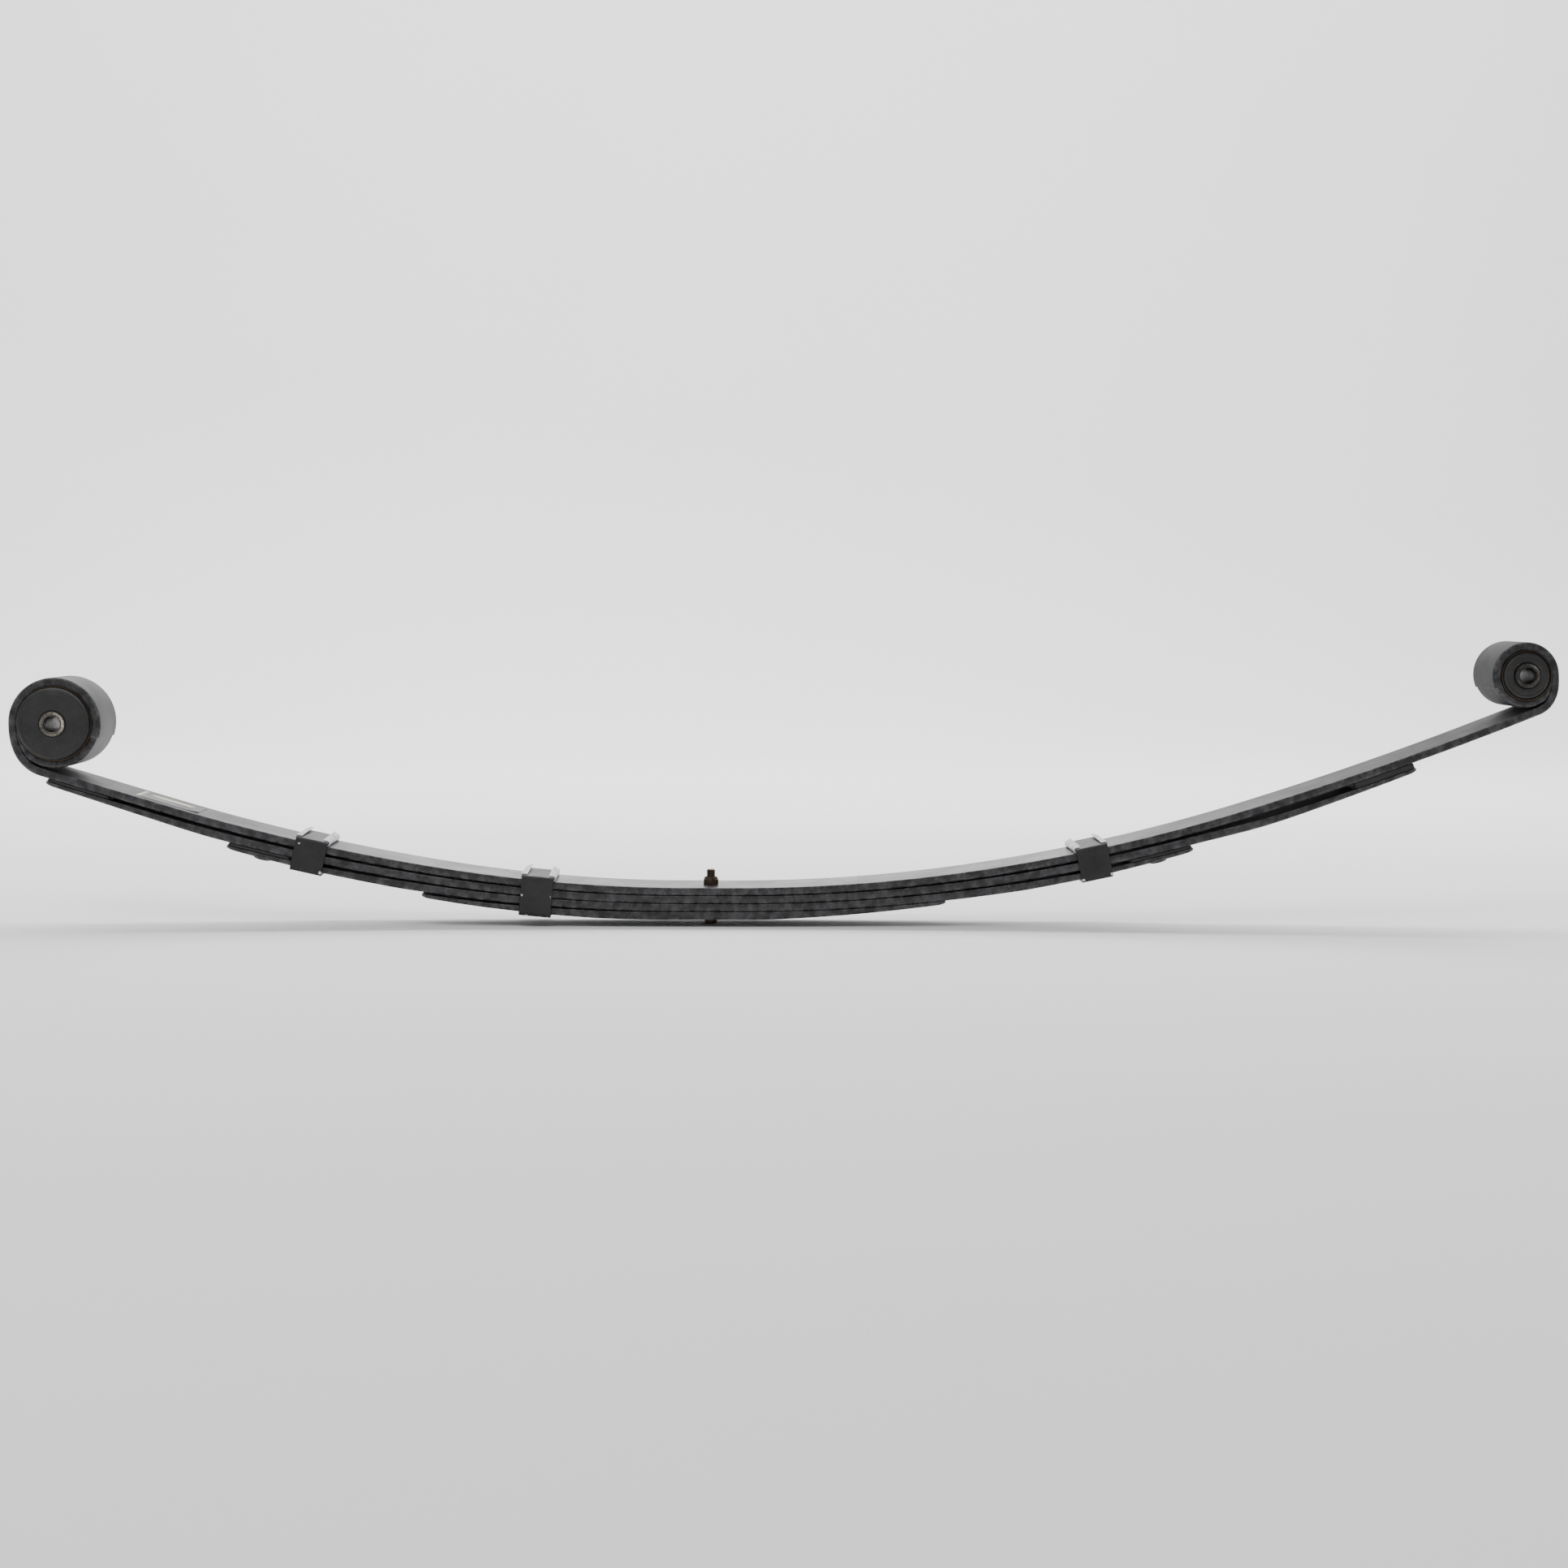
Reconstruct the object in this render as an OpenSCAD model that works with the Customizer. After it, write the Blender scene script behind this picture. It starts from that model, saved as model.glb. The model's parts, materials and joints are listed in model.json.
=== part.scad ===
// Semi-elliptic leaf spring: four leaves, two rolled eyes with rubber bushes,
// a centre bolt, three rebound clips and tip pads between the leaves.
// Millimetres. +X runs to the rear eye, +Z up, the pack is centred on Y.
// Origin: middle of the seat, on the underside of the lowest leaf, on the bolt axis.

/* [Leaves] */
// width of every leaf
leaf_w = 63.5; // [56:0.5:70]
// thickness of every leaf
leaf_t = 7; // [6.4:0.1:7.4]
// air between clamped leaves at the seat
stack_gap = 0.1; // [0.1:0.05:0.3]
// half length of the straight seat
flat_half = 20; // [15:1:30]
// arc length from the bolt where the first bend radius ends
bend_1 = 230; // [220:5:240]
// arc length from the bolt where the second bend radius ends
bend_2 = 480; // [470:5:500]
// first bend radius of the front arm, next to the seat
front_bend_r = 1380; // [1340:10:1440]
// second bend radius of the front arm
front_mid_r = 1840; // [1760:10:1920]
// last bend radius of the front arm, nearly straight
front_end_r = 20000; // [15000:1000:30000]
// first bend radius of the rear arm, next to the seat
rear_bend_r = 1450; // [1410:10:1500]
// second bend radius of the rear arm
rear_mid_r = 1600; // [1560:10:1680]
// last bend radius of the rear arm
rear_end_r = 3200; // [2900:100:4000]
// second leaf, arc length from the bolt to its front tip
second_front = 589; // [575:1:598]
// second leaf, arc length from the bolt to its rear tip
second_rear = 634; // [620:1:650]
// third leaf, arc length from the bolt to its front tip
third_front = 424; // [420:1:440]
// third leaf, arc length from the bolt to its rear tip
third_rear = 426; // [420:1:440]
// fourth leaf, arc length from the bolt to its front tip
fourth_front = 251; // [235:1:260]
// fourth leaf, arc length from the bolt to its rear tip
fourth_rear = 205; // [195:1:230]
// length of the thinned end of each lower leaf
tip_taper = 152; // [120:2:160]
// thickness left at the tips of the lower leaves
tip_t = 3; // [2.6:0.1:4]
// how far the fourth leaf stands off the third at its front tip
fourth_off = 1.8; // [0.4:0.1:2]
// extra air above the rear tip of the second leaf
rear_off = 2.6; // [1:0.1:3]

/* [Eyes] */
// arc length from the bolt to the foot of the front eye
front_arm = 595; // [590:1:610]
// arc length from the bolt to the foot of the rear eye
rear_arm = 752; // [740:1:765]
// bore radius of the front eye
front_bore_r = 33; // [31:0.5:34]
// bore radius of the rear eye
rear_bore_r = 22.5; // [21:0.5:24]
// air between an eye and the arm below it
eye_gap = 0.5; // [0.4:0.1:1]
// angle over which the arm winds in under the eye
wind = 72; // [72:6:84]
// roll angle at which the end of the roll steps down
seam_at = 272; // [260:1:280]
// depth of that step
seam_step = 1.2; // [0.8:0.1:1.6]

/* [Bushes] */
// wall of the pressed-in outer shells
shell_wall = 1.5; // [1.2:0.1:2]
// clearance of a shell in its eye
press = 0.05; // [0.05:0.01:0.1]
// how far the front rubber stands out of the eye on each side
front_rubber_out = 7.5; // [5:0.5:9]
// how far the rear rubber stands out of the eye on each side
rear_rubber_out = 3; // [2:0.5:5]
// how far the front sleeve stands out of the eye on each side
front_sleeve_out = 8.5; // [7.5:0.5:10]
// how far the rear sleeve stands out of the eye on each side
rear_sleeve_out = 5; // [4:0.5:7]
// outer radius of both inner sleeves
sleeve_r = 11; // [10:0.5:12]
// bore radius of both inner sleeves
sleeve_bore_r = 7; // [6:0.5:8]

/* [Centre bolt] */
// radius of the bolt shank
bolt_r = 4; // [4:0.5:5]
// height of the bolt end above the top leaf
bolt_top = 13.4; // [12:0.2:16]
// radius of the round head
head_r = 5.6; // [5.5:0.1:7]
// height of the round head under the seat
head_h = 6.3; // [5:0.1:8]
// size of the nut across its flats
nut_flats = 13; // [13:1:17]
// height of the nut
nut_h = 6.8; // [6:0.1:8]

/* [Rebound clips] */
// width of a clip strap along the leaves
strap_w = 28; // [24:1:32]
// thickness of a clip strap
strap_t = 2.4; // [2.2:0.1:2.8]
// side clearance of a strap beside the leaves
strap_side = 0.6; // [0.4:0.1:1]
// arc length from the bolt to the front clip
front_clip_at = 352; // [345:1:360]
// arc length from the bolt to the inner clip
inner_clip_at = 152; // [140:1:165]
// arc length from the bolt to the rear clip
rear_clip_at = 338; // [325:1:345]
// thickness of the bright liner
liner_t = 1; // [0.8:0.1:1.2]
// height of the upturned sides of a liner
liner_h = 5.2; // [5.2:0.1:6]
// width of the lips that turn in over the strap
liner_lip = 5; // [4:0.5:6]
// radius of a rivet shank
rivet_r = 3; // [2.5:0.1:3.5]

/* [Tip pads] */
// thickness of the pad between two leaves
pad_t = 2.8; // [2.4:0.1:3.2]
// length of a pad
pad_l = 58; // [54:1:64]
// radius of the round button below the leaf
button_r = 8.2; // [7:0.2:9]
// height of the button below the leaf
button_h = 5; // [4:0.5:6]

/* [Hidden] */
$fn = 72;
turn = 180 / PI;
front_radii = [front_bend_r, front_mid_r, front_end_r];
rear_radii = [rear_bend_r, rear_mid_r, rear_end_r];
top_z = 4 * leaf_t + 3 * stack_gap;   // top face of the main leaf at the bolt
hole_r = bolt_r + 0.4;                // bolt hole in the leaves
stem_r = 5;                           // pad stem in a leaf
stem_in = 2.2;                        // depth of a pad stem that ends inside its leaf
steel_dark = [0.25, 0.25, 0.27];
leaf_grey = [0.56, 0.56, 0.6];
bright = [0.86, 0.86, 0.88];
rubber = [0.36, 0.36, 0.37];
bronze = [0.42, 0.36, 0.28];

// ---- the line of the pack ----
// s is arc length along the top of the main leaf, negative on the front arm.
function radii(s) = s < 0 ? front_radii : rear_radii;
function side(s) = s < 0 ? -1 : 1;
// slope of an arm at arc length a
function slope(r, a) =
  a <= flat_half ? 0 :
  a <= bend_1 ? (a - flat_half) / r[0] * turn :
  a <= bend_2 ? slope(r, bend_1) + (a - bend_1) / r[1] * turn :
  slope(r, bend_2) + (a - bend_2) / r[2] * turn;
function arm_x(r, a) = min(a, flat_half)
  + r[0] * sin(slope(r, min(a, bend_1)))
  + r[1] * (sin(slope(r, min(max(a, bend_1), bend_2))) - sin(slope(r, bend_1)))
  + r[2] * (sin(slope(r, max(a, bend_2))) - sin(slope(r, bend_2)));
function arm_z(r, a) =
  r[0] * (1 - cos(slope(r, min(a, bend_1))))
  + r[1] * (cos(slope(r, bend_1)) - cos(slope(r, min(max(a, bend_1), bend_2))))
  + r[2] * (cos(slope(r, bend_2)) - cos(slope(r, max(a, bend_2))));
function tilt(s) = slope(radii(s), abs(s));
// a point d below the top of the main leaf, in the XZ plane
function at(s, d) = [
  side(s) * (arm_x(radii(s), abs(s)) + d * sin(tilt(s))),
  top_z + arm_z(radii(s), abs(s)) - d * cos(tilt(s))];

// air between leaf n and the leaf above it: closed at the seat, a pad thick at the tip
function opened(a, full, power) = stack_gap + (pad_t - stack_gap) * pow(min(1, a / full), power);
function unit(x) = min(1, max(0, x));
function eased(x) = unit(x) * unit(x) * (3 - 2 * unit(x));
function gap(n, s) =
  n == 2 ? opened(abs(s), 450, 1.3) + rear_off * eased((s - 425) / 90) :
  n == 3 ? opened(abs(s), 345, 2.5) :
  stack_gap + fourth_off * pow(unit((-s - flat_half) / 180), 1.2);
// depth of the top face of leaf n
function depth(n, s) = n == 1 ? 0 : depth(n - 1, s) + leaf_t + gap(n, s);
// thickness of a lower leaf, thinned towards its tips
function tip_of(n, s) = n == 2 ? (s < 0 ? second_front : second_rear) :
  n == 3 ? (s < 0 ? third_front : third_rear) : (s < 0 ? fourth_front : fourth_rear);
function thick(n, s) = tip_t + (leaf_t - tip_t) * unit((tip_of(n, s) - abs(s)) / tip_taper);

function stations(a, b, n) = [for (i = [0 : n]) a + (b - a) * i / n];
function back(v) = [for (i = [len(v) - 1 : -1 : 0]) v[i]];

// ---- the eyes ----
function arm(e) = e < 0 ? front_arm : rear_arm;
function bore(e) = e < 0 ? front_bore_r : rear_bore_r;
function foot(e) = slope(e < 0 ? front_radii : rear_radii, arm(e));
function far(e) = bore(e) + leaf_t + eye_gap;      // eye centre above the arm
function eye(e) = at(e * arm(e), -far(e));
function eye_at(e, r, a) = eye(e) + r * [e * cos(foot(e) - 90 + a), sin(foot(e) - 90 + a)];
function smooth(u) = u <= 0 ? 0 : u >= 1 ? 1 : u * u * (3 - 2 * u);
function winding(e, a) = bore(e) + (far(e) - bore(e)) * (1 - smooth(a / wind));
function inner_r(e, a) = a < wind ? winding(e, a) : bore(e) - 0.3;
function outer_r(e, a) =
  a < seam_at ? winding(e, a) + leaf_t :
  a < 360 ? bore(e) + leaf_t - seam_step :
  min(bore(e) + leaf_t - seam_step, winding(e, a - 360) - 0.3);
roll_end = 360 + 0.68 * wind;
roll = concat([for (a = [0 : 6 : seam_at - 2]) a], [seam_at - 0.1, seam_at],
  stations(seam_at, roll_end, 22));
function roll_in(e) = [for (a = roll) eye_at(e, inner_r(e, a), a)];
function roll_out(e) = [for (a = roll) eye_at(e, outer_r(e, a), a)];

module across(w) { rotate([90, 0, 0]) linear_extrude(w, center = true) children(); }
// puts children on the pack line, x along the leaf and z square to it
module on_line(s, d = 0) {
  p = at(s, d);
  translate([p[0], 0, p[1]]) rotate([0, -side(s) * tilt(s), 0]) children();
}
module bolt_hole() { translate([0, 0, -5]) cylinder(r = hole_r, h = top_z + 10); }

// ---- leaves ----
module main_leaf() {
  line = stations(-front_arm + 4, rear_arm - 4, 96);
  color(leaf_grey) difference() {
    across(leaf_w) difference() {
      polygon(concat(
        back(roll_in(-1)), [for (s = line) at(s, 0)], roll_in(1),
        back(roll_out(1)), back([for (s = line) at(s, leaf_t)]), roll_out(-1)));
      for (e = [-1, 1]) translate(eye(e)) circle(r = bore(e), $fn = 96);
    }
    bolt_hole();
  }
}
module lower_leaf(n) {
  line = stations(-tip_of(n, -1), tip_of(n, 1), 76);
  difference() {
    across(leaf_w) polygon(concat(
      [for (s = line) at(s, depth(n, s))],
      back([for (s = line) at(s, depth(n, s) + thick(n, s))])));
    bolt_hole();
    children();
  }
}
module stem_hole(n, s) { on_line(s, depth(n, s) + leaf_t) translate([0, 0, -3]) cylinder(r = stem_r + 0.2, h = leaf_t + 6); }
module stem_pocket(n, s) { on_line(s, depth(n, s)) translate([0, 0, -stem_in - 0.3]) cylinder(r = stem_r + 0.2, h = stem_in + 3.3); }
module second_leaf() {
  color(leaf_grey) lower_leaf(2) {
    stem_pocket(2, -(second_front - pad_l / 2));
    stem_pocket(2, second_rear - pad_l / 2);
  }
}
module third_leaf() {
  color(leaf_grey) lower_leaf(3) {
    stem_hole(3, -(third_front - pad_l / 2));
    stem_hole(3, third_rear - pad_l / 2);
    rivet_shape(-front_clip_at, 3, 0.1);
    rivet_shape(rear_clip_at, 3, 0.1);
  }
}
module fourth_leaf() {
  color(leaf_grey) lower_leaf(4)
    rivet_shape(-inner_clip_at, 4, 0.1);
}

// ---- centre bolt and nut ----
module centre_bolt() {
  color(bronze) {
    rotate_extrude() polygon([[0, -head_h], [head_r - 0.8, -head_h], [head_r, -head_h + 0.8], [head_r, 0],
      [bolt_r, 0], [bolt_r, top_z + bolt_top - 1], [bolt_r - 1, top_z + bolt_top], [0, top_z + bolt_top]]);
  }
}
module centre_nut() {
  color(bronze) translate([0, 0, top_z + 0.05]) difference() {
    union() {
      rotate([0, 0, 30]) cylinder(d = nut_flats / cos(30), h = nut_h - 1.8, $fn = 6);
      translate([0, 0, nut_h - 1.85]) cylinder(r1 = nut_flats / 2 - 0.4, r2 = nut_flats / 2 - 0.9, h = 1.85);
    }
    translate([0, 0, -1]) cylinder(r = bolt_r + 0.05, h = nut_h + 2);
  }
}

// ---- rebound clips ----
strap_room = 0.5;                     // air between a strap and the leaf it is riveted to
// a box with its own corner radius below and above
module rounded(w, h, low, high) {
  translate([-w / 2, low]) square([w, h - low - high]);
  translate([low - w / 2, 0]) square([w - 2 * low, h / 2]);
  translate([high - w / 2, h / 2]) square([w - 2 * high, h / 2]);
  for (x = [-1, 1]) {
    translate([x * (w / 2 - low), low]) circle(r = low);
    translate([x * (w / 2 - high), h - high]) circle(r = high);
  }
}
// one strap around the leaves from 1 to n, its two ends bent over the top to meet
module clip(s, n) {
  inside_w = leaf_w + 2 * strap_side;
  inside_top = liner_t + 0.3;
  inside_h = depth(n, s) + thick(n, s) + inside_top + strap_room;
  difference() {
    on_line(s) translate([0, 0, inside_top - inside_h])
      rotate([90, 0, 90]) linear_extrude(strap_w, center = true) difference() {
        translate([0, -strap_t]) rounded(inside_w + 2 * strap_t, inside_h + 2 * strap_t, 3.9, 2.8);
        rounded(inside_w, inside_h, 1.5, 0.4);
        translate([-0.2, inside_h - 1]) square([0.4, strap_t + 2]);
      }
    rivet_shape(s, n, 0.1);
  }
}
// a rivet with a flat head under the strap and a sunk head in the leaf
module rivet_shape(s, n, c) {
  deep = thick(n, s) + strap_room + strap_t;
  on_line(s, depth(n, s)) translate([0, 0, -deep]) {
    translate([0, 0, -2]) cylinder(r = rivet_r + 1.8 + c, h = 1.95);
    translate([0, 0, -0.3]) cylinder(r = rivet_r + c, h = deep - 1);
    translate([0, 0, deep - 2.2]) cylinder(r1 = rivet_r + c, r2 = rivet_r + 1.6 + c, h = 1.9);
    if (c > 0) translate([0, 0, deep - 0.31]) cylinder(r = rivet_r + 1.6 + c, h = 1);
  }
}
module front_clip() { color(steel_dark) clip(-front_clip_at, 3); }
module inner_clip() { color(steel_dark) clip(-inner_clip_at, 4); }
module rear_clip() { color(steel_dark) clip(rear_clip_at, 3); }
module front_clip_rivet() { color(steel_dark) rivet_shape(-front_clip_at, 3, 0); }
module inner_clip_rivet() { color(steel_dark) rivet_shape(-inner_clip_at, 4, 0); }
module rear_clip_rivet() { color(steel_dark) rivet_shape(rear_clip_at, 3, 0); }

// a thin channel under the strap, with its lips turned in over the strap
module liner(s) {
  half = strap_w / 2 + 0.5;
  on_line(s) rotate([90, 0, 0]) linear_extrude(leaf_w - 3, center = true) polygon([
    [-half - liner_t, 0.15], [half + liner_t, 0.15], [half + liner_t, liner_h],
    [half - liner_lip, liner_h], [half - liner_lip, liner_h - liner_t], [half, liner_h - liner_t],
    [half, liner_t + 0.15], [-half, liner_t + 0.15], [-half, liner_h - liner_t],
    [-half + liner_lip, liner_h - liner_t], [-half + liner_lip, liner_h], [-half - liner_t, liner_h]]);
}
module front_clip_liner() { color(bright) liner(-front_clip_at); }
module inner_clip_liner() { color(bright) liner(-inner_clip_at); }
module rear_clip_liner() { color(bright) liner(rear_clip_at); }

// ---- tip pads ----
// a flat pad on leaf n with a stem in the leaf; with a button the stem comes out below
module pad(n, tip, dir, button) {
  line = stations(dir * (tip - pad_l), dir * (tip - 1), 8);
  mid = dir * (tip - pad_l / 2);
  difference() {
    union() {
      across(leaf_w - 3) polygon(concat(
        [for (s = line) at(s, depth(n, s) - gap(n, s) + 0.05)], back([for (s = line) at(s, depth(n, s) - 0.03)])));
      if (button) on_line(mid, depth(n, mid)) {
        translate([0, 0, -thick(n, mid) - 1]) cylinder(r = stem_r, h = thick(n, mid) + 1.5);
        translate([0, 0, -thick(n, mid) - button_h]) rotate_extrude() polygon([
          [0, 0], [button_r - 2, 0], [button_r - 0.6, 0.6], [button_r, 2], [button_r, button_h - 0.3], [0, button_h - 0.3]]);
      }
      else on_line(mid, depth(n, mid)) translate([0, 0, -stem_in]) cylinder(r = stem_r, h = stem_in + 0.5);
    }
    // moulded recess in the button
    if (button) on_line(mid, depth(n, mid)) translate([0, 0, -thick(n, mid) - button_h - 1]) cylinder(r = 2.5, h = 4);
  }
}
module second_leaf_front_pad() { color(steel_dark) pad(2, second_front, -1, false); }
module second_leaf_rear_pad() { color(steel_dark) pad(2, second_rear, 1, false); }
module third_leaf_front_pad() { color(steel_dark) pad(3, third_front, -1, true); }
module third_leaf_rear_pad() { color(steel_dark) pad(3, third_rear, 1, true); }

// ---- bushes ----
module turned(e) { p = eye(e); translate([p[0], 0, p[1]]) rotate([90, 0, 0]) rotate_extrude() children(); }
module shell(e, out) {
  r = bore(e) - press;
  half = leaf_w / 2 + out;
  turned(e) polygon([[r - shell_wall, -half], [r - 0.4, -half], [r, -half + 0.4],
    [r, half - 0.4], [r - 0.4, half], [r - shell_wall, half]]);
}
module bush_rubber(e, out, lip) {
  r = bore(e) - press - shell_wall - 0.03;
  half = leaf_w / 2 + out;
  hub = sleeve_r + 0.05;
  turned(e) polygon([[hub, -half], [r - 2.6, -half], [r - 1, -half + 0.6], [r - lip, -half + 2.4],
    [r - lip, half - 2.4], [r - 1, half - 0.6], [r - 2.6, half], [hub, half]]);
}
module sleeve(e, out) {
  half = leaf_w / 2 + out;
  turned(e) polygon([[sleeve_bore_r, -half], [sleeve_r - 0.5, -half], [sleeve_r, -half + 0.5],
    [sleeve_r, half - 0.5], [sleeve_r - 0.5, half], [sleeve_bore_r, half]]);
}
module front_bush_shell() { color(steel_dark) shell(-1, 0.4); }
module front_bush_rubber() { color(rubber) bush_rubber(-1, front_rubber_out, 0); }
module front_bush_sleeve() { color(bright) sleeve(-1, front_sleeve_out); }
module rear_bush_shell() { color(steel_dark) shell(1, 1.5); }
module rear_bush_rubber() { color(rubber) bush_rubber(1, rear_rubber_out, 0); }
module rear_bush_sleeve() { color(bright) sleeve(1, rear_sleeve_out); }

// ---- blank foil label on the front arm ----
module part_label() {
  line = stations(-512, -456, 6);
  color(bright) across(44) polygon(concat(
    [for (s = line) at(s, -0.35)], back([for (s = line) at(s, -0.05)])));
}

main_leaf();
second_leaf();
third_leaf();
fourth_leaf();
centre_bolt();
centre_nut();
front_clip();
inner_clip();
rear_clip();
front_clip_rivet();
inner_clip_rivet();
rear_clip_rivet();
front_clip_liner();
inner_clip_liner();
rear_clip_liner();
second_leaf_front_pad();
second_leaf_rear_pad();
third_leaf_front_pad();
third_leaf_rear_pad();
front_bush_shell();
front_bush_rubber();
front_bush_sleeve();
rear_bush_shell();
rear_bush_rubber();
rear_bush_sleeve();
part_label();
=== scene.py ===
# %% [markdown]
# # A semi-elliptic leaf spring
# The real thing is four bars of spring steel, bolted through the middle, strapped with
# three clips and hung from two rolled eyes with rubber bushes. The measured model gives
# every size and every joint. This lesson builds the surfaces that are seen: rounded bar
# edges, bent sheet, moulded rubber, cut threads, and the paint, plating and wear on them.
# Everything is drawn along one curved line, so the pieces fit without any adjusting.

# %% Load the measured model
import bpy, bmesh, json, math, random
from mathutils import Matrix, Vector
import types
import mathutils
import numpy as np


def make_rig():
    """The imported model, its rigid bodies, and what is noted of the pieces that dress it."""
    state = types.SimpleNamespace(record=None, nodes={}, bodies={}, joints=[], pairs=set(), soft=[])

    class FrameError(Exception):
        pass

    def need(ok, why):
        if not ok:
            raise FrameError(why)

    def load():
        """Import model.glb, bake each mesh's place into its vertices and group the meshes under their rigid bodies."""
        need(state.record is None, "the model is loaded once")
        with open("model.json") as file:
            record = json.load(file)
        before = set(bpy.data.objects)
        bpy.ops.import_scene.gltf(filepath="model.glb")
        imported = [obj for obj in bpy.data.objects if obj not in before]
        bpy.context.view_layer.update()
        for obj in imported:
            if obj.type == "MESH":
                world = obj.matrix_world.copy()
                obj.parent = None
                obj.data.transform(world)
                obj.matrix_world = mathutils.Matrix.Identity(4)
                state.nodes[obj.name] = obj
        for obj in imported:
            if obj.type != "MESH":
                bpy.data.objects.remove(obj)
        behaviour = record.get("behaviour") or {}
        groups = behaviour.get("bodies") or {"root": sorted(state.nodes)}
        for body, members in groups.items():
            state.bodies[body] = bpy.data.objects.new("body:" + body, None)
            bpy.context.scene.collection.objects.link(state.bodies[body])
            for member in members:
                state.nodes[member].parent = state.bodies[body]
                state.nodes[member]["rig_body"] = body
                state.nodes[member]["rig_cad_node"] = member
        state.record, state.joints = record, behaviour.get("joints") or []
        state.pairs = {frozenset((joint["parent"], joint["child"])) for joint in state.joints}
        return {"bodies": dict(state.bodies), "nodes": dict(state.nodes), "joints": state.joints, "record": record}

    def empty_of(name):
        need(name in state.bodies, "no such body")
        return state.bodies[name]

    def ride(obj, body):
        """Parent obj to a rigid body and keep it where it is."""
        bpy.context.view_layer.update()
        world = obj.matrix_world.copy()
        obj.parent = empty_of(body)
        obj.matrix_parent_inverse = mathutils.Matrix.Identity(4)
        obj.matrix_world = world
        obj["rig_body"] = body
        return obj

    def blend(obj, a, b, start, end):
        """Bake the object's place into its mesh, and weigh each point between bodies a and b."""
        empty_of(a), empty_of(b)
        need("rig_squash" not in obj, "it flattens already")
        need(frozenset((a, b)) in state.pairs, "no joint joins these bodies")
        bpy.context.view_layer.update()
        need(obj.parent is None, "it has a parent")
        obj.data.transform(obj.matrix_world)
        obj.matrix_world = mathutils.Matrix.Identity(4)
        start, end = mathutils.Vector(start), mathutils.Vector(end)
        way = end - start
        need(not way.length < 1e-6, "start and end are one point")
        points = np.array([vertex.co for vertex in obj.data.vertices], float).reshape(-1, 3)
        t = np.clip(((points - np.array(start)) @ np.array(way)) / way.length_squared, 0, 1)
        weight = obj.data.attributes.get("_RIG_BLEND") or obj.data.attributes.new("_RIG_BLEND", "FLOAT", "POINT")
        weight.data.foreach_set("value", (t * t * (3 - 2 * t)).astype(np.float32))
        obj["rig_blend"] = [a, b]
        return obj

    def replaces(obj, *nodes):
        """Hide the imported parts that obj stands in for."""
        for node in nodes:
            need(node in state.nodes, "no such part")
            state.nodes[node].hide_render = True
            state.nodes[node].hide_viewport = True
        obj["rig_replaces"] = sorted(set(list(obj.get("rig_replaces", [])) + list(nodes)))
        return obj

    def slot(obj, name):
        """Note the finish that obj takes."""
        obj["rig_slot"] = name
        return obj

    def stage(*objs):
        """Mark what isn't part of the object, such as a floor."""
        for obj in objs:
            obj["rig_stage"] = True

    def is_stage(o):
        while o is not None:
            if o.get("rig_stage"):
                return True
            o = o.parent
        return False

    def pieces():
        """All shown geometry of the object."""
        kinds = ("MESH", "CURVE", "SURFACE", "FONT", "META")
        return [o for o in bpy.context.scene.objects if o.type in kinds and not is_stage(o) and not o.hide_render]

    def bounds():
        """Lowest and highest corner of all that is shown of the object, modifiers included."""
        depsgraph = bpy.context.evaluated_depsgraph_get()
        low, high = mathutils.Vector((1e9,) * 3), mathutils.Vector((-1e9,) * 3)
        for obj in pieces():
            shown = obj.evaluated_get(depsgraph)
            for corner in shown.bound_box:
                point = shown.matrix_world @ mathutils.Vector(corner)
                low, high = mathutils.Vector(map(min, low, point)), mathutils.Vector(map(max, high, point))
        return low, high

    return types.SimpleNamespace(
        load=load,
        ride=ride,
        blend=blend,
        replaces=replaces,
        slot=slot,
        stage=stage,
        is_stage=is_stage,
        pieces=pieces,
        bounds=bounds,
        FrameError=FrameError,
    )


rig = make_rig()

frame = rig.load()
cad_box = [list(map(float, c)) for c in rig.bounds()]
print("measured box, metres:", [[round(v, 4) for v in c] for c in cad_box])

# %% [markdown]
# ## Camera
# The spring is 1.36 m long, so it is looked at from 2.3 m with a 60 mm lens, a hand's
# width above the seat. A far, long view keeps both eyes the same size. The camera could
# be aimed with a constraint, but three small turns set in a matrix say exactly how level
# it stands.

# %% Camera
LENS = 59.7764  # mm, on a sensor 36 mm wide
PITCH, YAW, ROLL = math.radians(4.089), math.radians(1.497), math.radians(0.304)
EYE_POINT = Vector((0.0043, -2.3086, 0.2830))
forward = Vector((math.sin(YAW) * math.cos(PITCH), math.cos(YAW) * math.cos(PITCH), -math.sin(PITCH)))
level = Vector((math.cos(YAW), -math.sin(YAW), 0))
above = level.cross(forward)
right = level * math.cos(ROLL) + above * math.sin(ROLL)
up = above * math.cos(ROLL) - level * math.sin(ROLL)
camera_data = bpy.data.cameras.new("camera")
camera_data.lens, camera_data.sensor_width, camera_data.clip_end = LENS, 36, 60
camera = bpy.data.objects.new("camera", camera_data)
bpy.context.collection.objects.link(camera)
turn = Matrix((right, up, -forward)).transposed().to_4x4()
camera.matrix_world = Matrix.Translation(EYE_POINT) @ turn
bpy.context.scene.camera = camera
print("lens, mm:", round(LENS, 1))

# %% [markdown]
# ## The line of the pack
# A spring maker bends the bars over formers, so each arm is a short straight seat and
# then three arcs. A drawn curve could be traced by hand, but arcs are what the former
# leaves, and arc length along the top face places everything else: clips, pads, tips.
# Lengths in this lesson are in millimetres until a mesh is made.

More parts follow.
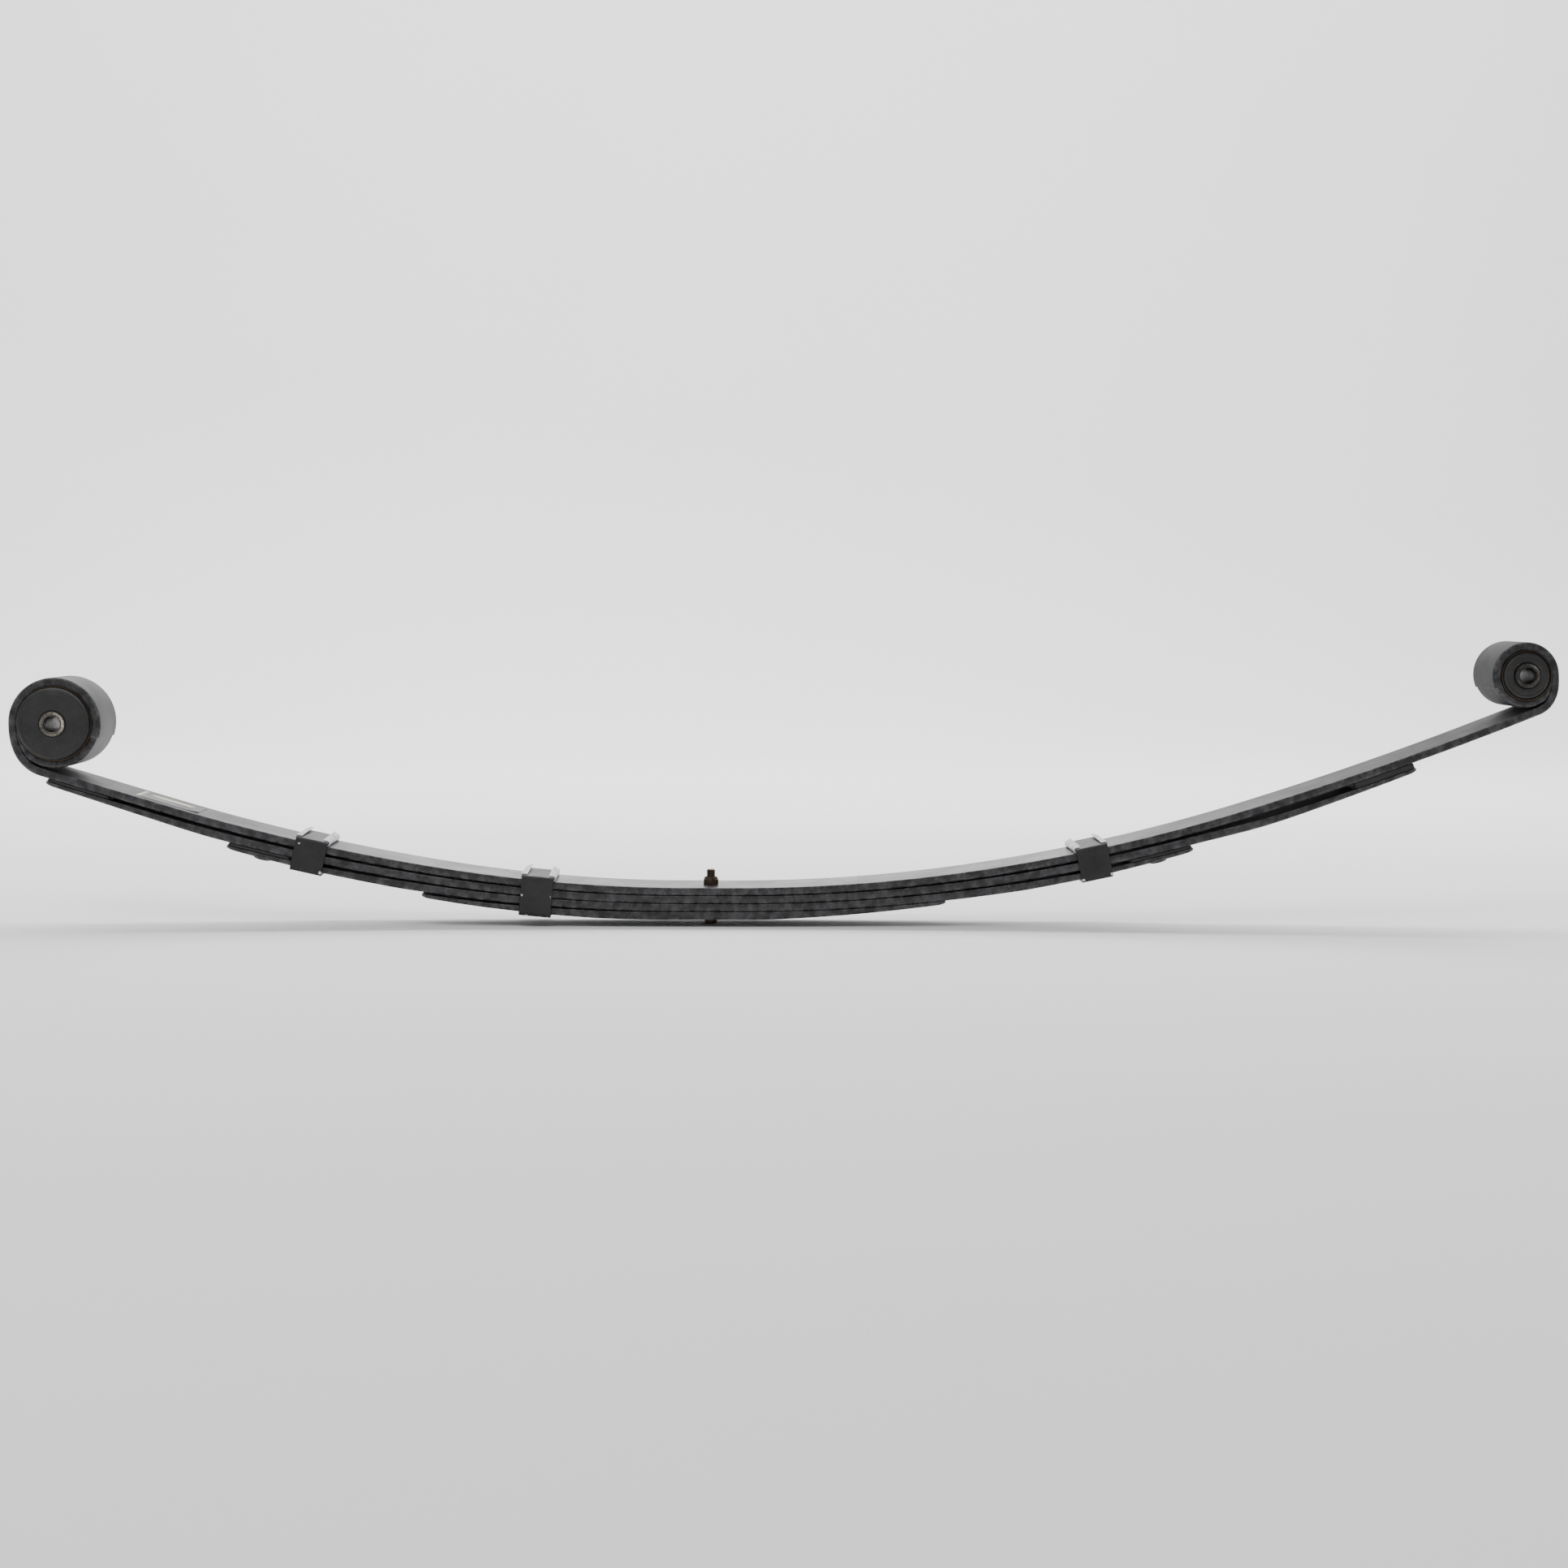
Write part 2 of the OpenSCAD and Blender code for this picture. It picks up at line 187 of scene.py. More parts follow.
# %% The arcs of the two arms
LEAF_W, LEAF_T, GAP, SEAT, BEND_1, BEND_2 = 63.5, 7.0, 0.1, 20, 230, 480
FRONT_R, REAR_R = (1380, 1840, 20000), (1450, 1600, 3200)
TOP = 4 * LEAF_T + 3 * GAP


def slope(s):
    """Slope of the arm in radians at arc length s; the front arm is negative."""
    radii, a = (FRONT_R if s < 0 else REAR_R), abs(s)
    turned, start = 0.0, SEAT
    for radius, stop in zip(radii, (BEND_1, BEND_2, 1e9)):
        turned += max(0.0, min(a, stop) - start) / radius
        start = stop
    return turned


def on_top(s):
    """The point on the top face of the main leaf at arc length s."""
    radii, a, side = (FRONT_R if s < 0 else REAR_R), abs(s), (-1 if s < 0 else 1)
    x, z, start, h = min(a, SEAT), TOP, SEAT, 0.0
    for radius, stop in zip(radii, (BEND_1, BEND_2, 1e9)):
        h2 = h + max(0.0, min(a, stop) - start) / radius
        x += radius * (math.sin(h2) - math.sin(h))
        z += radius * (math.cos(h) - math.cos(h2))
        start, h = stop, h2
    return Vector((side * x, z))


def at(s, d):
    """A point d below the top face, square to it."""
    h, side = slope(s), (-1 if s < 0 else 1)
    return on_top(s) + d * Vector((side * math.sin(h), -math.cos(h)))


print("slope at the eyes, degrees:", round(math.degrees(slope(-595)), 1), round(math.degrees(slope(752)), 1))

# %% [markdown]
# ## How the leaves open towards their tips
# The bolt pulls the bars tight together at the seat. Each tip carries a pad nearly 3 mm
# thick, so a wedge of air opens along the arm. A power curve gives that wedge: closed and
# flat at first, then rising to the pad's thickness. The rear pad of the second leaf is
# thicker, and the front tip of the fourth leaf stands off a little with no pad at all.
# The lower bars are also rolled thinner over their last 152 mm, which softens their ends.

# %% Gaps and depths
PAD_T = 2.8


def unit(x):
    return max(0.0, min(1.0, x))


def leaf_gap(n, s):
    if n == 4:
        return GAP + 1.8 * unit((-s - SEAT) / 180) ** 1.2
    full, power = {2: (450, 1.3), 3: (345, 2.5)}[n]
    late = unit((s - 425) / 90)
    more = 2.6 * late * late * (3 - 2 * late) if n == 2 else 0.0
    return GAP + (PAD_T - GAP) * min(1, abs(s) / full) ** power + more


def depth(n, s):
    return 0.0 if n == 1 else depth(n - 1, s) + LEAF_T + leaf_gap(n, s)


TIPS, TAPER, TIP_T = {2: (589, 634), 3: (424, 426), 4: (251, 205)}, 152, 3.0


def thick_of(n, s):
    """Thickness of a lower leaf, thinned towards its tips."""
    return TIP_T + (LEAF_T - TIP_T) * unit((TIPS[n][s > 0] - abs(s)) / TAPER)


print("depth of each leaf at 300 mm:", [round(depth(n, 300), 2) for n in (1, 2, 3, 4)])
print("second leaf at its pads:", round(thick_of(2, -560), 2), round(thick_of(2, 604), 2))

# %% [markdown]
# ## A sweep for bar and strip
# Spring bar is rolled with rounded edges, so a box with a bevel would be too sharp and
# too regular. Each piece of bar is a row of sections. A section is given by the point on
# its inner face and the point on its outer face, and gets rounded corners and a few
# points along its flats, so that smooth shading does not smear across them. A bar can be
# crisper along one face than the other, so each face has its own corner radius. The
# corner points also carry a wear value, which the paint reads later for rubbed edges and
# a painted highlight along them.

# %% Sections and sweep


def section(width, thick, corner, arcs=4, flats=6, crisp=None):
    """Points around a rounded bar: (across, through, wear)."""
    far, near = [max(0.02, min(r, thick * 0.49, width * 0.49)) for r in (corner, crisp or corner)]
    w, v, points = width / 2 - far, width / 2 - near, []
    spots = ((w, thick - far, 0, far), (-w, thick - far, 90, far),
             (-v, near, 180, near), (v, near, 270, near))
    for i, (y, z, start, r) in enumerate(spots):
        for k in range(arcs + 1):
            a = math.radians(start + 90 * k / arcs)
            # On the leaves this corner mark stands for rubbed paint and a painted highlight along the edges.
            points.append((y + r * math.cos(a), z + r * math.sin(a), 0.6 if 0 < k < arcs else 0.3))
        if i in (0, 2):
            run = -2 * y
            marks = [0.03] + [(k + 1) / (flats + 1) for k in range(flats)] + [0.97]
            edge = thick if i == 0 else 0.0
            points += [(y + run * m, edge, 0.0) for m in marks]
    return points


def mesh_object(name, verts, faces, wear=None, sharp=38):
    """A mesh in metres, smooth shaded, with its sharp corners kept."""
    mesh = bpy.data.meshes.new(name)
    mesh.from_pydata([Vector(v) * 0.001 for v in verts], [], faces)
    bm = bmesh.new()
    bm.from_mesh(mesh)
    bmesh.ops.recalc_face_normals(bm, faces=bm.faces)
    bm.to_mesh(mesh)
    bm.free()
    mesh.polygons.foreach_set("use_smooth", [True] * len(mesh.polygons))
    mesh.set_sharp_from_angle(angle=math.radians(sharp))
    layer = mesh.attributes.new("wear", "FLOAT", "POINT")
    layer.data.foreach_set("value", wear if wear else [0.0] * len(verts))
    obj = bpy.data.objects.new(name, mesh)
    bpy.context.collection.objects.link(obj)
    return obj


def sweep(pairs, place, corner=2.2, flats=6, crisp=None):
    """pairs: (inner, outer, width, end_wear) in a plane; place(u, v, across) gives the 3-D point."""
    verts, wear, faces = [], [], []
    for inner, outer, width, extra in pairs:
        through = outer - inner
        thick = max(through.length, 0.05)
        ring = section(width, thick, corner, flats=flats, crisp=crisp)
        for across, z, w in ring:
            p = inner + through * (z / thick)
            verts.append(place(p.x, p.y, across))
            wear.append(min(1.0, w + extra))
        count = len(ring)
    for i in range(len(pairs) - 1):
        for k in range(count):
            a, b = i * count + k, i * count + (k + 1) % count
            faces.append((a, b, b + count, a + count))
    faces += [tuple(range(count)), tuple(range(len(verts) - count, len(verts)))]
    return verts, faces, wear


def in_pack(x, z, across):
    return (x, across, z)


print("points in one bar section:", len(section(LEAF_W, LEAF_T, 2.2)))

# %% [markdown]
# ## The eyes of the main leaf
# The bar is heated and rolled around a mandrel. It winds in under the eye, runs nearly a
# full turn, and its thinned end tucks in between the bush and the arm. A plain ring joined
# to the bar would miss that wedge, so the roll is drawn as a radius that changes with the
# angle: in from the arm, constant, one small step where the end was forged, then thinner.

# %% Rolled eyes
EYES = {-1: dict(arm=595, bore=33.0), 1: dict(arm=752, bore=22.5)}
WIND, SEAM, STEP, AIR = 72, 272, 1.2, 0.5
for end, eye in EYES.items():
    eye["far"] = eye["bore"] + LEAF_T + AIR
    eye["foot"] = slope(end * eye["arm"])
    eye["centre"] = at(end * eye["arm"], -eye["far"])
    print("eye", end, "centre", [round(v, 2) for v in eye["centre"]])


def winding(eye, a):
    u = max(0.0, min(1.0, a / WIND))
    return eye["bore"] + (eye["far"] - eye["bore"]) * (1 - u * u * (3 - 2 * u))


def roll_pair(end, a):
    """Inner and outer point of the roll, a degrees round from the foot of the eye."""
    eye = EYES[end]
    inner = winding(eye, a) if a < WIND else eye["bore"]
    outer = winding(eye, a) + LEAF_T
    if a >= SEAM:
        outer = eye["bore"] + LEAF_T - STEP
        if a > 360:
            outer = min(outer, winding(eye, a - 360) - 0.3)
    angle = eye["foot"] - math.pi / 2 + math.radians(a)
    ray = Vector((end * math.cos(angle), math.sin(angle)))
    seam_wear = 0.5 if -0.5 < a - SEAM < 0.1 else 0.0
    return eye["centre"] + ray * inner, eye["centre"] + ray * outer, LEAF_W, seam_wear


def roll(end):
    last = 360 + 0.86 * WIND
    turns = [a for a in range(0, SEAM - 2, 4)] + [SEAM - 1.2, SEAM - 0.35, SEAM - 0.01, SEAM, SEAM + 0.3]
    turns += [SEAM + 0.3 + (last - SEAM) * (k + 1) / 30 for k in range(30)]
    return [roll_pair(end, a) for a in turns]


# %% [markdown]
# ## The four leaves
# The main leaf is one sweep from the end of one roll to the end of the other. The lower
# leaves are sheared to length, their ends thinned and dressed, so their last few
# millimetres shrink in thickness and width until the tip is round from every side.

# %% Build the leaves
def in_place(obj, node):
    """The piece stands for that node of the measured model, and bends with the pack."""
    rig.replaces(obj, node)
    PACK.append(obj)
    return obj


PACK = []
arm_line = [-591 + (591 + 748) * k / 150 for k in range(151)]
arm_pairs = [(at(s, 0), at(s, LEAF_T), LEAF_W, 0.0) for s in arm_line]
verts, faces, wear = sweep(list(reversed(roll(-1))) + arm_pairs + roll(1), in_pack, crisp=0.9)
in_place(mesh_object("leaf_main", verts, faces, wear), "main_leaf")
print("main leaf faces:", len(faces))
# The leaf paint paints these points near black, as painted shade in the gaps between leaves.
GAP_SHADE_POINTS = range(23, 31)  # points of a section on the face that lies under the leaf above
NOSE = 2.1  # thickness at which a lower leaf's end starts to round over


def lower_leaf(name, n):
    """A leaf under the main one, from its front tip to its rear tip."""
    front, rear = TIPS[n]
    ends = (0.06, 0.25, 0.6, 1.1, 1.8, 2.8, 4.2, 6.5, 10)
    line = [-front + e for e in ends] + [-front + 14 + (front + rear - 28) * k / 90 for k in range(91)]
    line += [rear - e for e in reversed(ends)]
    pairs = []
    for s in line:
        left = (front if s < 0 else rear) - abs(s)
        thick, top = thick_of(n, s) * (1 - 0.3 * unit(1 - left / 9) ** 2), depth(n, s)
        if left < NOSE / 2:
            half = math.sqrt(max(0.0, left * (NOSE - left)))
            top, thick = top + NOSE / 2 - half, 2 * half
        narrow = 7 - math.sqrt(max(0.0, 49 - max(0.0, 7 - left) ** 2))
        pairs.append((at(s, top), at(s, top + thick), LEAF_W - 2 * narrow, 0.3 if left < 3 else 0.0))
    verts, faces, wear = sweep(pairs, in_pack, crisp=0.9)
    ring = len(section(LEAF_W, LEAF_T, 2.2))
    # The face under the leaf above gets -1, which the leaf paint turns into painted shade.
    wear = [-1.0 if k % ring in GAP_SHADE_POINTS else w for k, w in enumerate(wear)]
    return mesh_object(name, verts, faces, wear)


for n, word in ((2, "second"), (3, "third"), (4, "fourth")):
    in_place(lower_leaf("leaf_" + word, n), word + "_leaf")
print("pieces so far:", len(PACK))

# %% [markdown]
# ## Rebound clips
# A clip is a flat strap riveted under its leaf, folded up both sides and then over the top
# of the main leaf, so the leaves stay together when the wheel drops. It is the same sweep
# as the bars, run around the pack instead of along it. The lower folds are soft and the
# upper ones tight. Folds carry more wear, because paint cracks there, and a few small
# spots on the front side are marked as knocked down to bare steel.

# %% Clips
STRAP_W, STRAP_T, LINER_T, LINER_H, LIP = 28, 2.4, 1.0, 5.2, 5.0
ROOM = 0.5  # air between a strap and the leaf it is riveted to
TIGHT, SOFT = 0.4, 1.5  # inner radii of the upper and lower folds


def on_line(s, u, v, w, d=0.0):
    """Local point: u along the leaf towards the rear, v up out of it, w across."""
    h, side = slope(s), (-1 if s < 0 else 1)
    along = Vector((math.cos(h), side * math.sin(h)))
    out = Vector((-side * math.sin(h), math.cos(h)))
    p = at(s, d) + along * u + out * v
    return (p.x, w, p.y)


def folded(half, low, high, gap):
    """Inner and outer points of a strap around a box, meeting in the middle of its top."""
    corners = ((half, high, 90, 0, TIGHT), (half, low, 0, -90, SOFT),
               (-half, low, -90, -180, SOFT), (-half, high, 180, 90, TIGHT))
    top = [(gap + (half - TIGHT - gap) * k / 5, 0.3 if k == 0 else 0.0) for k in range(6)]
    pairs = [(Vector((y, high)), Vector((y, high + STRAP_T)), w) for y, w in top]
    for cy, cz, a0, a1, r in corners:
        my, mz = cy - math.copysign(r, cy), cz - (r if cz == high else -r)
        for k in range(7):
            a = math.radians(a0 + (a1 - a0) * k / 6)
            ray = Vector((math.cos(a), math.sin(a)))
            pairs.append((Vector((my, mz)) + ray * r, Vector((my, mz)) + ray * (r + STRAP_T), 0.42))
        if cz == high and cy > 0 or cz == low and cy < 0:
            ends = (high - TIGHT, low + SOFT) if cy > 0 else (low + SOFT, high - TIGHT)
            for k in range(1, 16):
                z = ends[0] + (ends[1] - ends[0]) * k / 16
                pairs.append((Vector((cy, z)), Vector((cy + math.copysign(STRAP_T, cy), z)), 0.0))
        elif cz == low:
            for k in range(1, 8):
                y = (half - r) * (1 - 2 * k / 8)
                pairs.append((Vector((y, low)), Vector((y, low - STRAP_T)), 0.0))
    return pairs + [(Vector((-y, high)), Vector((-y, high + STRAP_T)), w) for y, w in reversed(top)]


def clip(name, s, n, knocks):
    """knocks: (u, share of the way down, radius) of bare spots on the front side."""
    high, low = LINER_T + 0.3, -(depth(n, s) + thick_of(n, s) + ROOM)
    pairs = [(a, b, STRAP_W, w) for a, b, w in folded(LEAF_W / 2 + 0.6, low, high, 0.2)]
    local, faces, wear = sweep(pairs, lambda y, v, u: (u, v, y), corner=0.55, flats=14)
    for i, (u, v, y) in enumerate(local):
        for ku, share, r in knocks:
            if y < -LEAF_W / 2:
                wear[i] = max(wear[i], 1.8 * (1 - math.hypot(u - ku, v - high - (low - high) * share) / r))
    return mesh_object(name, [on_line(s, u, v, y) for u, v, y in local], faces, wear)


CLIPS = {"front": (-352, 3), "inner": (-152, 4), "rear": (338, 3)}
KNOCKS = {"front": [(-10.5, 0.12, 3.2), (12.8, 0.97, 4.0)],
          "inner": [(-12.6, 0.50, 3.2), (12.6, 0.46, 3.0), (-7.0, 1.06, 3.6),
                    (4.0, 1.08, 3.8), (11.0, 1.05, 3.0)],
          "rear": [(-12.6, 1.0, 4.2), (12.8, 0.98, 3.6)]}
for where, (s, n) in CLIPS.items():
    in_place(clip("clip_" + where, s, n, KNOCKS[where]), where + "_clip")
print("clips:", [o.name for o in PACK if o.name.startswith("clip")])

# %% [markdown]
# ## Turned pieces
# Rivets, bolt, nut, bushes and pad buttons are all round, so one helper turns a list of
# (radius, height) pairs about an axis. The radius may also depend on the angle, which is
# enough for a hexagon with a chamfer, a screw thread and a ring of serrations, and no
# boolean cut is needed.

# %% A lathe
def lathe(name, rows, place, around=64, wear=None, sharp=38, shape=None):
    """rows: (radius, height); shape(radius, height, angle, row) may change both and add wear."""
    verts, values, faces = [], [], []
    for i, (r, h) in enumerate(rows):
        for k in range(around):
            a = 2 * math.pi * k / around
            rr, hh, *marked = shape(r, h, a, i) if shape else (r, h)
            verts.append(place(rr * math.cos(a), rr * math.sin(a), hh))
            values.append(marked[0] if marked else wear[i] if wear else 0.0)
    for i in range(len(rows) - 1):
        for k in range(around):
            a, b = i * around + k, i * around + (k + 1) % around
            faces.append((a, b, b + around, a + around))
    if rows[0] == rows[-1]:
        last = (len(rows) - 1) * around
        faces = [tuple(v - last if v >= last else v for v in f) for f in faces]
        verts, values = verts[:last], values[:last]
    else:
        faces += [tuple(range(around)), tuple(range(len(verts) - around, len(verts)))]
    return mesh_object(name, verts, faces, values, sharp)


def rounded_rows(r, low, high, bevel, inner=0.4):
    """Rows for a solid disc with rounded rims."""
    rows = [(inner, low), (r * 0.6, low), (r - bevel, low)]
    rows += [(r - bevel + bevel * math.sin(a), low + bevel - bevel * math.cos(a))
             for a in (0.4, 0.8, 1.2, 1.57)]
    rows += [(r - bevel + bevel * math.cos(a), high - bevel + bevel * math.sin(a))
             for a in (0.0, 0.4, 0.8, 1.2)]
    return rows + [(r - bevel, high), (r * 0.6, high), (inner, high)]


RIVET_HEAD_R = 4.8
for where, (s, n) in CLIPS.items():
    base = -(depth(n, s) + thick_of(n, s) + ROOM + STRAP_T)
    rivet = lathe("rivet_" + where, rounded_rows(RIVET_HEAD_R, base - 2, base - 0.05, 0.8),
                  lambda x, y, h, s=s: on_line(s, x, h, y), around=40)
    in_place(rivet, where + "_clip_rivet")
print("rivet heads, mm across:", 2 * RIVET_HEAD_R)

# %% [markdown]
# ## Centre bolt and nut
# The bolt is a plain round head under the seat and a rolled M8 thread above it. The
# thread's crest follows height minus a share of the angle, a true helix. The nut is a
# hexagon whose radius is cut back near its ends, the way a chamfer turns on a lathe, with
# a round crimped collar that keeps it from backing off.

# %% Bolt and nut
BOLT_R, BOLT_TOP, HEAD_R, HEAD_H, PITCH_MM = 4.0, 13.4, 5.6, 6.3, 1.25


def upright(x, y, h):
    return (x, y, h)


def thread(r, h, a, i):
    if r < BOLT_R - 0.05 or h < TOP + 5.5 or h > TOP + BOLT_TOP - 0.4:
        return r, h
    phase = (h / PITCH_MM - a / (2 * math.pi)) % 1.0
    return r - 0.62 * (1 - abs(2 * phase - 1)), h


rows = rounded_rows(HEAD_R, -HEAD_H, -0.02, 0.8)[:-3] + [(HEAD_R - 0.3, 0.0), (BOLT_R - 0.02, 0.0)]
rows += [(BOLT_R, TOP * k / 4) for k in range(1, 5)]
rows += [(BOLT_R, TOP + 0.5 + 12.1 * k / 96) for k in range(97)]
end = TOP + BOLT_TOP
rows += [(BOLT_R - 0.5, end - 0.3), (BOLT_R - 1.0, end), (1.6, end - 0.1), (0.3, end - 0.1)]
in_place(lathe("bolt_centre", rows, upright, around=48, shape=thread, sharp=50), "centre_bolt")


def hexagon(flats):
    def cut(r, h, a, i):
        if r <= BOLT_R + 0.9 or h > TOP + 5.02:
            return r, h
        folded_a = (a + math.pi / 6) % (math.pi / 3) - math.pi / 6
        return min(r, flats / 2 / math.cos(folded_a)), h
    return cut


FLATS, NUT_H, base = 13.0, 6.8, TOP + 0.05
profile = [(4.05, 0), (6.2, 0), (6.9, 0.05), (7.5, 0.5), (7.52, 1.6), (7.52, 3.2),
           (7.5, 4.2), (6.9, 4.75), (6.1, 4.97), (6.02, 5.0), (5.95, 5.4), (5.8, 6.3),
           (5.5, 6.7), (5.1, NUT_H), (4.4, NUT_H), (4.05, 6.5), (4.05, 0)]
rows = [(r, base + h) for r, h in profile]
nut = lathe("nut_centre", rows, upright, around=96, shape=hexagon(FLATS), sharp=24)
in_place(nut, "centre_nut")
print("bolt stands above the leaf by", BOLT_TOP, "mm")

# %% [markdown]
# ## Clip liners
# Under each strap lies a channel of thin bright sheet. Its sides stand up along the
# strap's edges and its lips turn in over the strap, so it cannot walk out. Thin sheet
# never stays flat: the lips spring up towards the far side. The profile is a path with
# corner arcs, swept across the leaf, and the spring is a lift that grows across it. Cut
# edges of plated sheet stay brighter than its faces, so they are marked.

# %% Liners
def liner_path():
    """(u, v, lift) along the sheet from one lip to the other, on its lower face."""
    half, r = STRAP_W / 2 + 0.5, 1.1
    path = [(half - LIP + 4.2 * k / 4, LINER_H - LINER_T, 1 - k / 5) for k in range(4)]
    for k in range(6):
        a = math.radians(90 - 90 * k / 5)
        v = LINER_H - LINER_T - r + r * math.sin(a)
        path.append((half - r + r * math.cos(a), v, 0.16 - 0.03 * k))
    path += [(half, 2.8, 0.0), (half, 2.2, 0.0)]
    for k in range(5):
        a = math.radians(-90 * k / 4)
        path.append((half - 0.8 + 0.8 * math.cos(a), LINER_T + 0.95 + 0.8 * math.sin(a), 0.0))
    return path + [(0.5 * half, 1.15, 0.0)] + [(0.0, 1.15, 0.0)] + [(-0.5 * half, 1.15, 0.0)] + \
        [(-u, v, lift) for u, v, lift in reversed(path)]


def liner(name, s, seed):
    rng = random.Random(seed)
    path, across = liner_path(), 25
    width = LEAF_W - 3
    tilt = [rng.uniform(0.8, 1.0), rng.uniform(0.8, 1.0)]
    outer, inner, edge = [], [], []
    for i, (u, v, lift) in enumerate(path):
        a, b = path[max(0, i - 1)], path[min(len(path) - 1, i + 1)]
        t = Vector((b[0] - a[0], b[1] - a[1])).normalized()
        normal = Vector((-t.y, t.x))
        for j in range(across):
            y = -width / 2 + width * j / (across - 1)
            rise = lift * 2.4 * tilt[u > 0] * (y / width + 0.5)
            inner.append(on_line(s, u, v + rise, y))
            outer.append(on_line(s, u + normal.x * LINER_T, v + rise + normal.y * LINER_T, y))
            edge.append(1.0 if i in (0, len(path) - 1) or j in (0, across - 1) else 0.0)
    n, m = len(path), across
    faces = []
    for i in range(n - 1):
        for j in range(m - 1):
            a = i * m + j
            faces.append((a, a + 1, a + m + 1, a + m))
            faces.append(tuple(n * m + v for v in (a, a + m, a + m + 1, a + 1)))
    rim = [j for j in range(m)] + [i * m + m - 1 for i in range(1, n)]
    rim += [(n - 1) * m + j for j in range(m - 2, -1, -1)] + [i * m for i in range(n - 2, 0, -1)]
    for a, b in zip(rim, rim[1:] + rim[:1]):
        faces.append((a, b, n * m + b, n * m + a))
    return mesh_object(name, inner + outer, faces, edge * 2, sharp=50)


for k, (where, (s, n)) in enumerate(CLIPS.items()):
    in_place(liner("liner_" + where, s, 11 + k), where + "_clip_liner")
print("liner sheet:", LINER_T, "mm")

# %% [markdown]
# ## Tip pads
# A moulded plastic pad lies on each tip so steel does not grind on steel. On the third
# leaf its stem goes through and ends in a round button; on the second leaf the stem stays
# inside. The pad is a short bar on the pack's line with a rounded outer end, and the
# button is turned; joined into one object they are one moulding.

# %% Pads
PAD_L = 58


def join(name, parts):
    bpy.ops.object.select_all(action="DESELECT")
    for part in parts:
        part.select_set(True)
    bpy.context.view_layer.objects.active = parts[0]
    bpy.ops.object.join()
    parts[0].name = name
    return parts[0]


def pad(name, n, tip, side, button):
    along = [0.05, 0.6, 1.6, 3.2] + [6 + 44 * k / 10 for k in range(11)]
    along += [51.0, 53.0, 54.6, 55.4, 56.2, 56.7]
    line = [tip - PAD_L + e for e in along]
    pairs = []
    for a in line:
        s, left = side * a, min(tip - 1 - a, a - tip + PAD_L)
        drop = 2.2 - math.sqrt(max(0.0, 4.84 - max(0.0, 2.2 - left) ** 2))
        narrow = 5 - math.sqrt(max(0.0, 25 - max(0.0, 5 - left) ** 2))
        top = depth(n, s) - leaf_gap(n, s) + 0.06
        pairs.append((at(s, top + drop), at(s, depth(n, s) - 0.03), LEAF_W - 3 - 2 * narrow, 0.0))
    plate = mesh_object(name + "_plate", *sweep(pairs, in_pack, corner=0.7))
    if not button:
        plate.name = name
        return plate
    mid = side * (tip - PAD_L / 2)
    low = -(depth(n, mid) + thick_of(n, mid))
    profile = [(0.3, 2.0), (2.4, 2.0), (2.5, 2.2), (2.6, 4.7), (3.0, 5.0), (6.2, 4.95), (7.3, 4.6),
               (7.9, 3.8), (8.15, 2.9), (8.2, 1.7), (8.2, 0.5), (8.0, 0.35), (5.0, 0.3), (4.9, -3)]
    rows = [(r, low - down) for r, down in profile]
    turned = lathe(name + "_button", rows, lambda x, y, h: on_line(mid, x, h, y), around=56)
    return join(name, [plate, turned])


for n, word in ((2, "second"), (3, "third")):
    for side, end in ((-1, "front"), (1, "rear")):
        tip = TIPS[n][side > 0]
        in_place(pad("pad_%s_%s" % (word, end), n, tip, side, n == 3), "%s_leaf_%s_pad" % (word, end))
        print(word, end, "pad, thickness in its middle:", round(leaf_gap(n, side * (tip - PAD_L / 2)), 2))

# %% [markdown]
# ## Bushes
# Each eye holds a drawn steel shell, a moulded rubber body and a hard inner sleeve. The
# rubber bulges out of the large eye and has soft rims and a shallow moulded ring. The
# sleeve's ends are serrated so the bracket bites into them: a saw-tooth height by angle
# on the end rows makes those teeth.

# %% Bushes
def in_eye(end):
    c = EYES[end]["centre"]
    return lambda x, z, h: (c.x + x, h, c.y + z)


def serrated(count, deep):
    def cut(r, h, a, i):
        if not 8.4 < r < 10.5:
            return r, h
        tooth = abs(((a * count / (2 * math.pi)) % 1.0) * 2 - 1)
        # Painted highlight: the tooth crests are marked brighter towards the right and upper right, where the light
        # falls.
        lit_side = 0.3 + 0.7 * (0.5 + 0.5 * math.cos(a - 0.25)) ** 1.5
        return r, h - math.copysign(deep * min(1.0, max(0.0, 1.5 * tooth - 0.25)), h), (1.0 - tooth) * lit_side
    return cut


def both_ends(side, half):
    """Rows of a hollow turned piece from (radius, distance in from its end), closed on itself."""
    near = [(r, -half + d) for r, d in side]
    far = [(r, half - d) for r, d in reversed(side)]
    return near + far + near[:1]


def sleeve(name, end, out, count):
    half = LEAF_W / 2 + out
    side = [(7.0, 9.0), (7.0, 1.2), (7.25, 0.15), (7.5, 0.0), (8.3, 0.0), (8.6, 0.0),
            (9.5, 0.0), (10.4, 0.0), (11.0, 0.9), (11.0, 6.0)]
    worn = [0, 0.1, 0.25, 0.1, 0.05, 0.5, 0.5, 0.5, 0.1, 0]
    return lathe(name, both_ends(side, half), in_eye(end), around=count * 4,
                 wear=worn + worn[::-1] + [0], shape=serrated(count, 0.5), sharp=30)


def bush_rubber(name, end, out, ring):
    r, half = EYES[end]["bore"] - 1.6, LEAF_W / 2 + out
    face = [(11.05, 1.0), (11.6, 0.35), (12.6, 0.0), (ring - 1.2, 0.0), (ring - 0.5, 0.12),
            (ring, 0.3), (ring + 0.5, 0.12), (ring + 1.2, 0.0), (r - 3.4, 0.05), (r - 2.2, 0.35),
            (r - 1.2, 1.0), (r - 0.5, 1.9), (r - 0.1, 3.1), (r, 4.6)]
    return lathe(name, both_ends(face, half), in_eye(end), around=112)


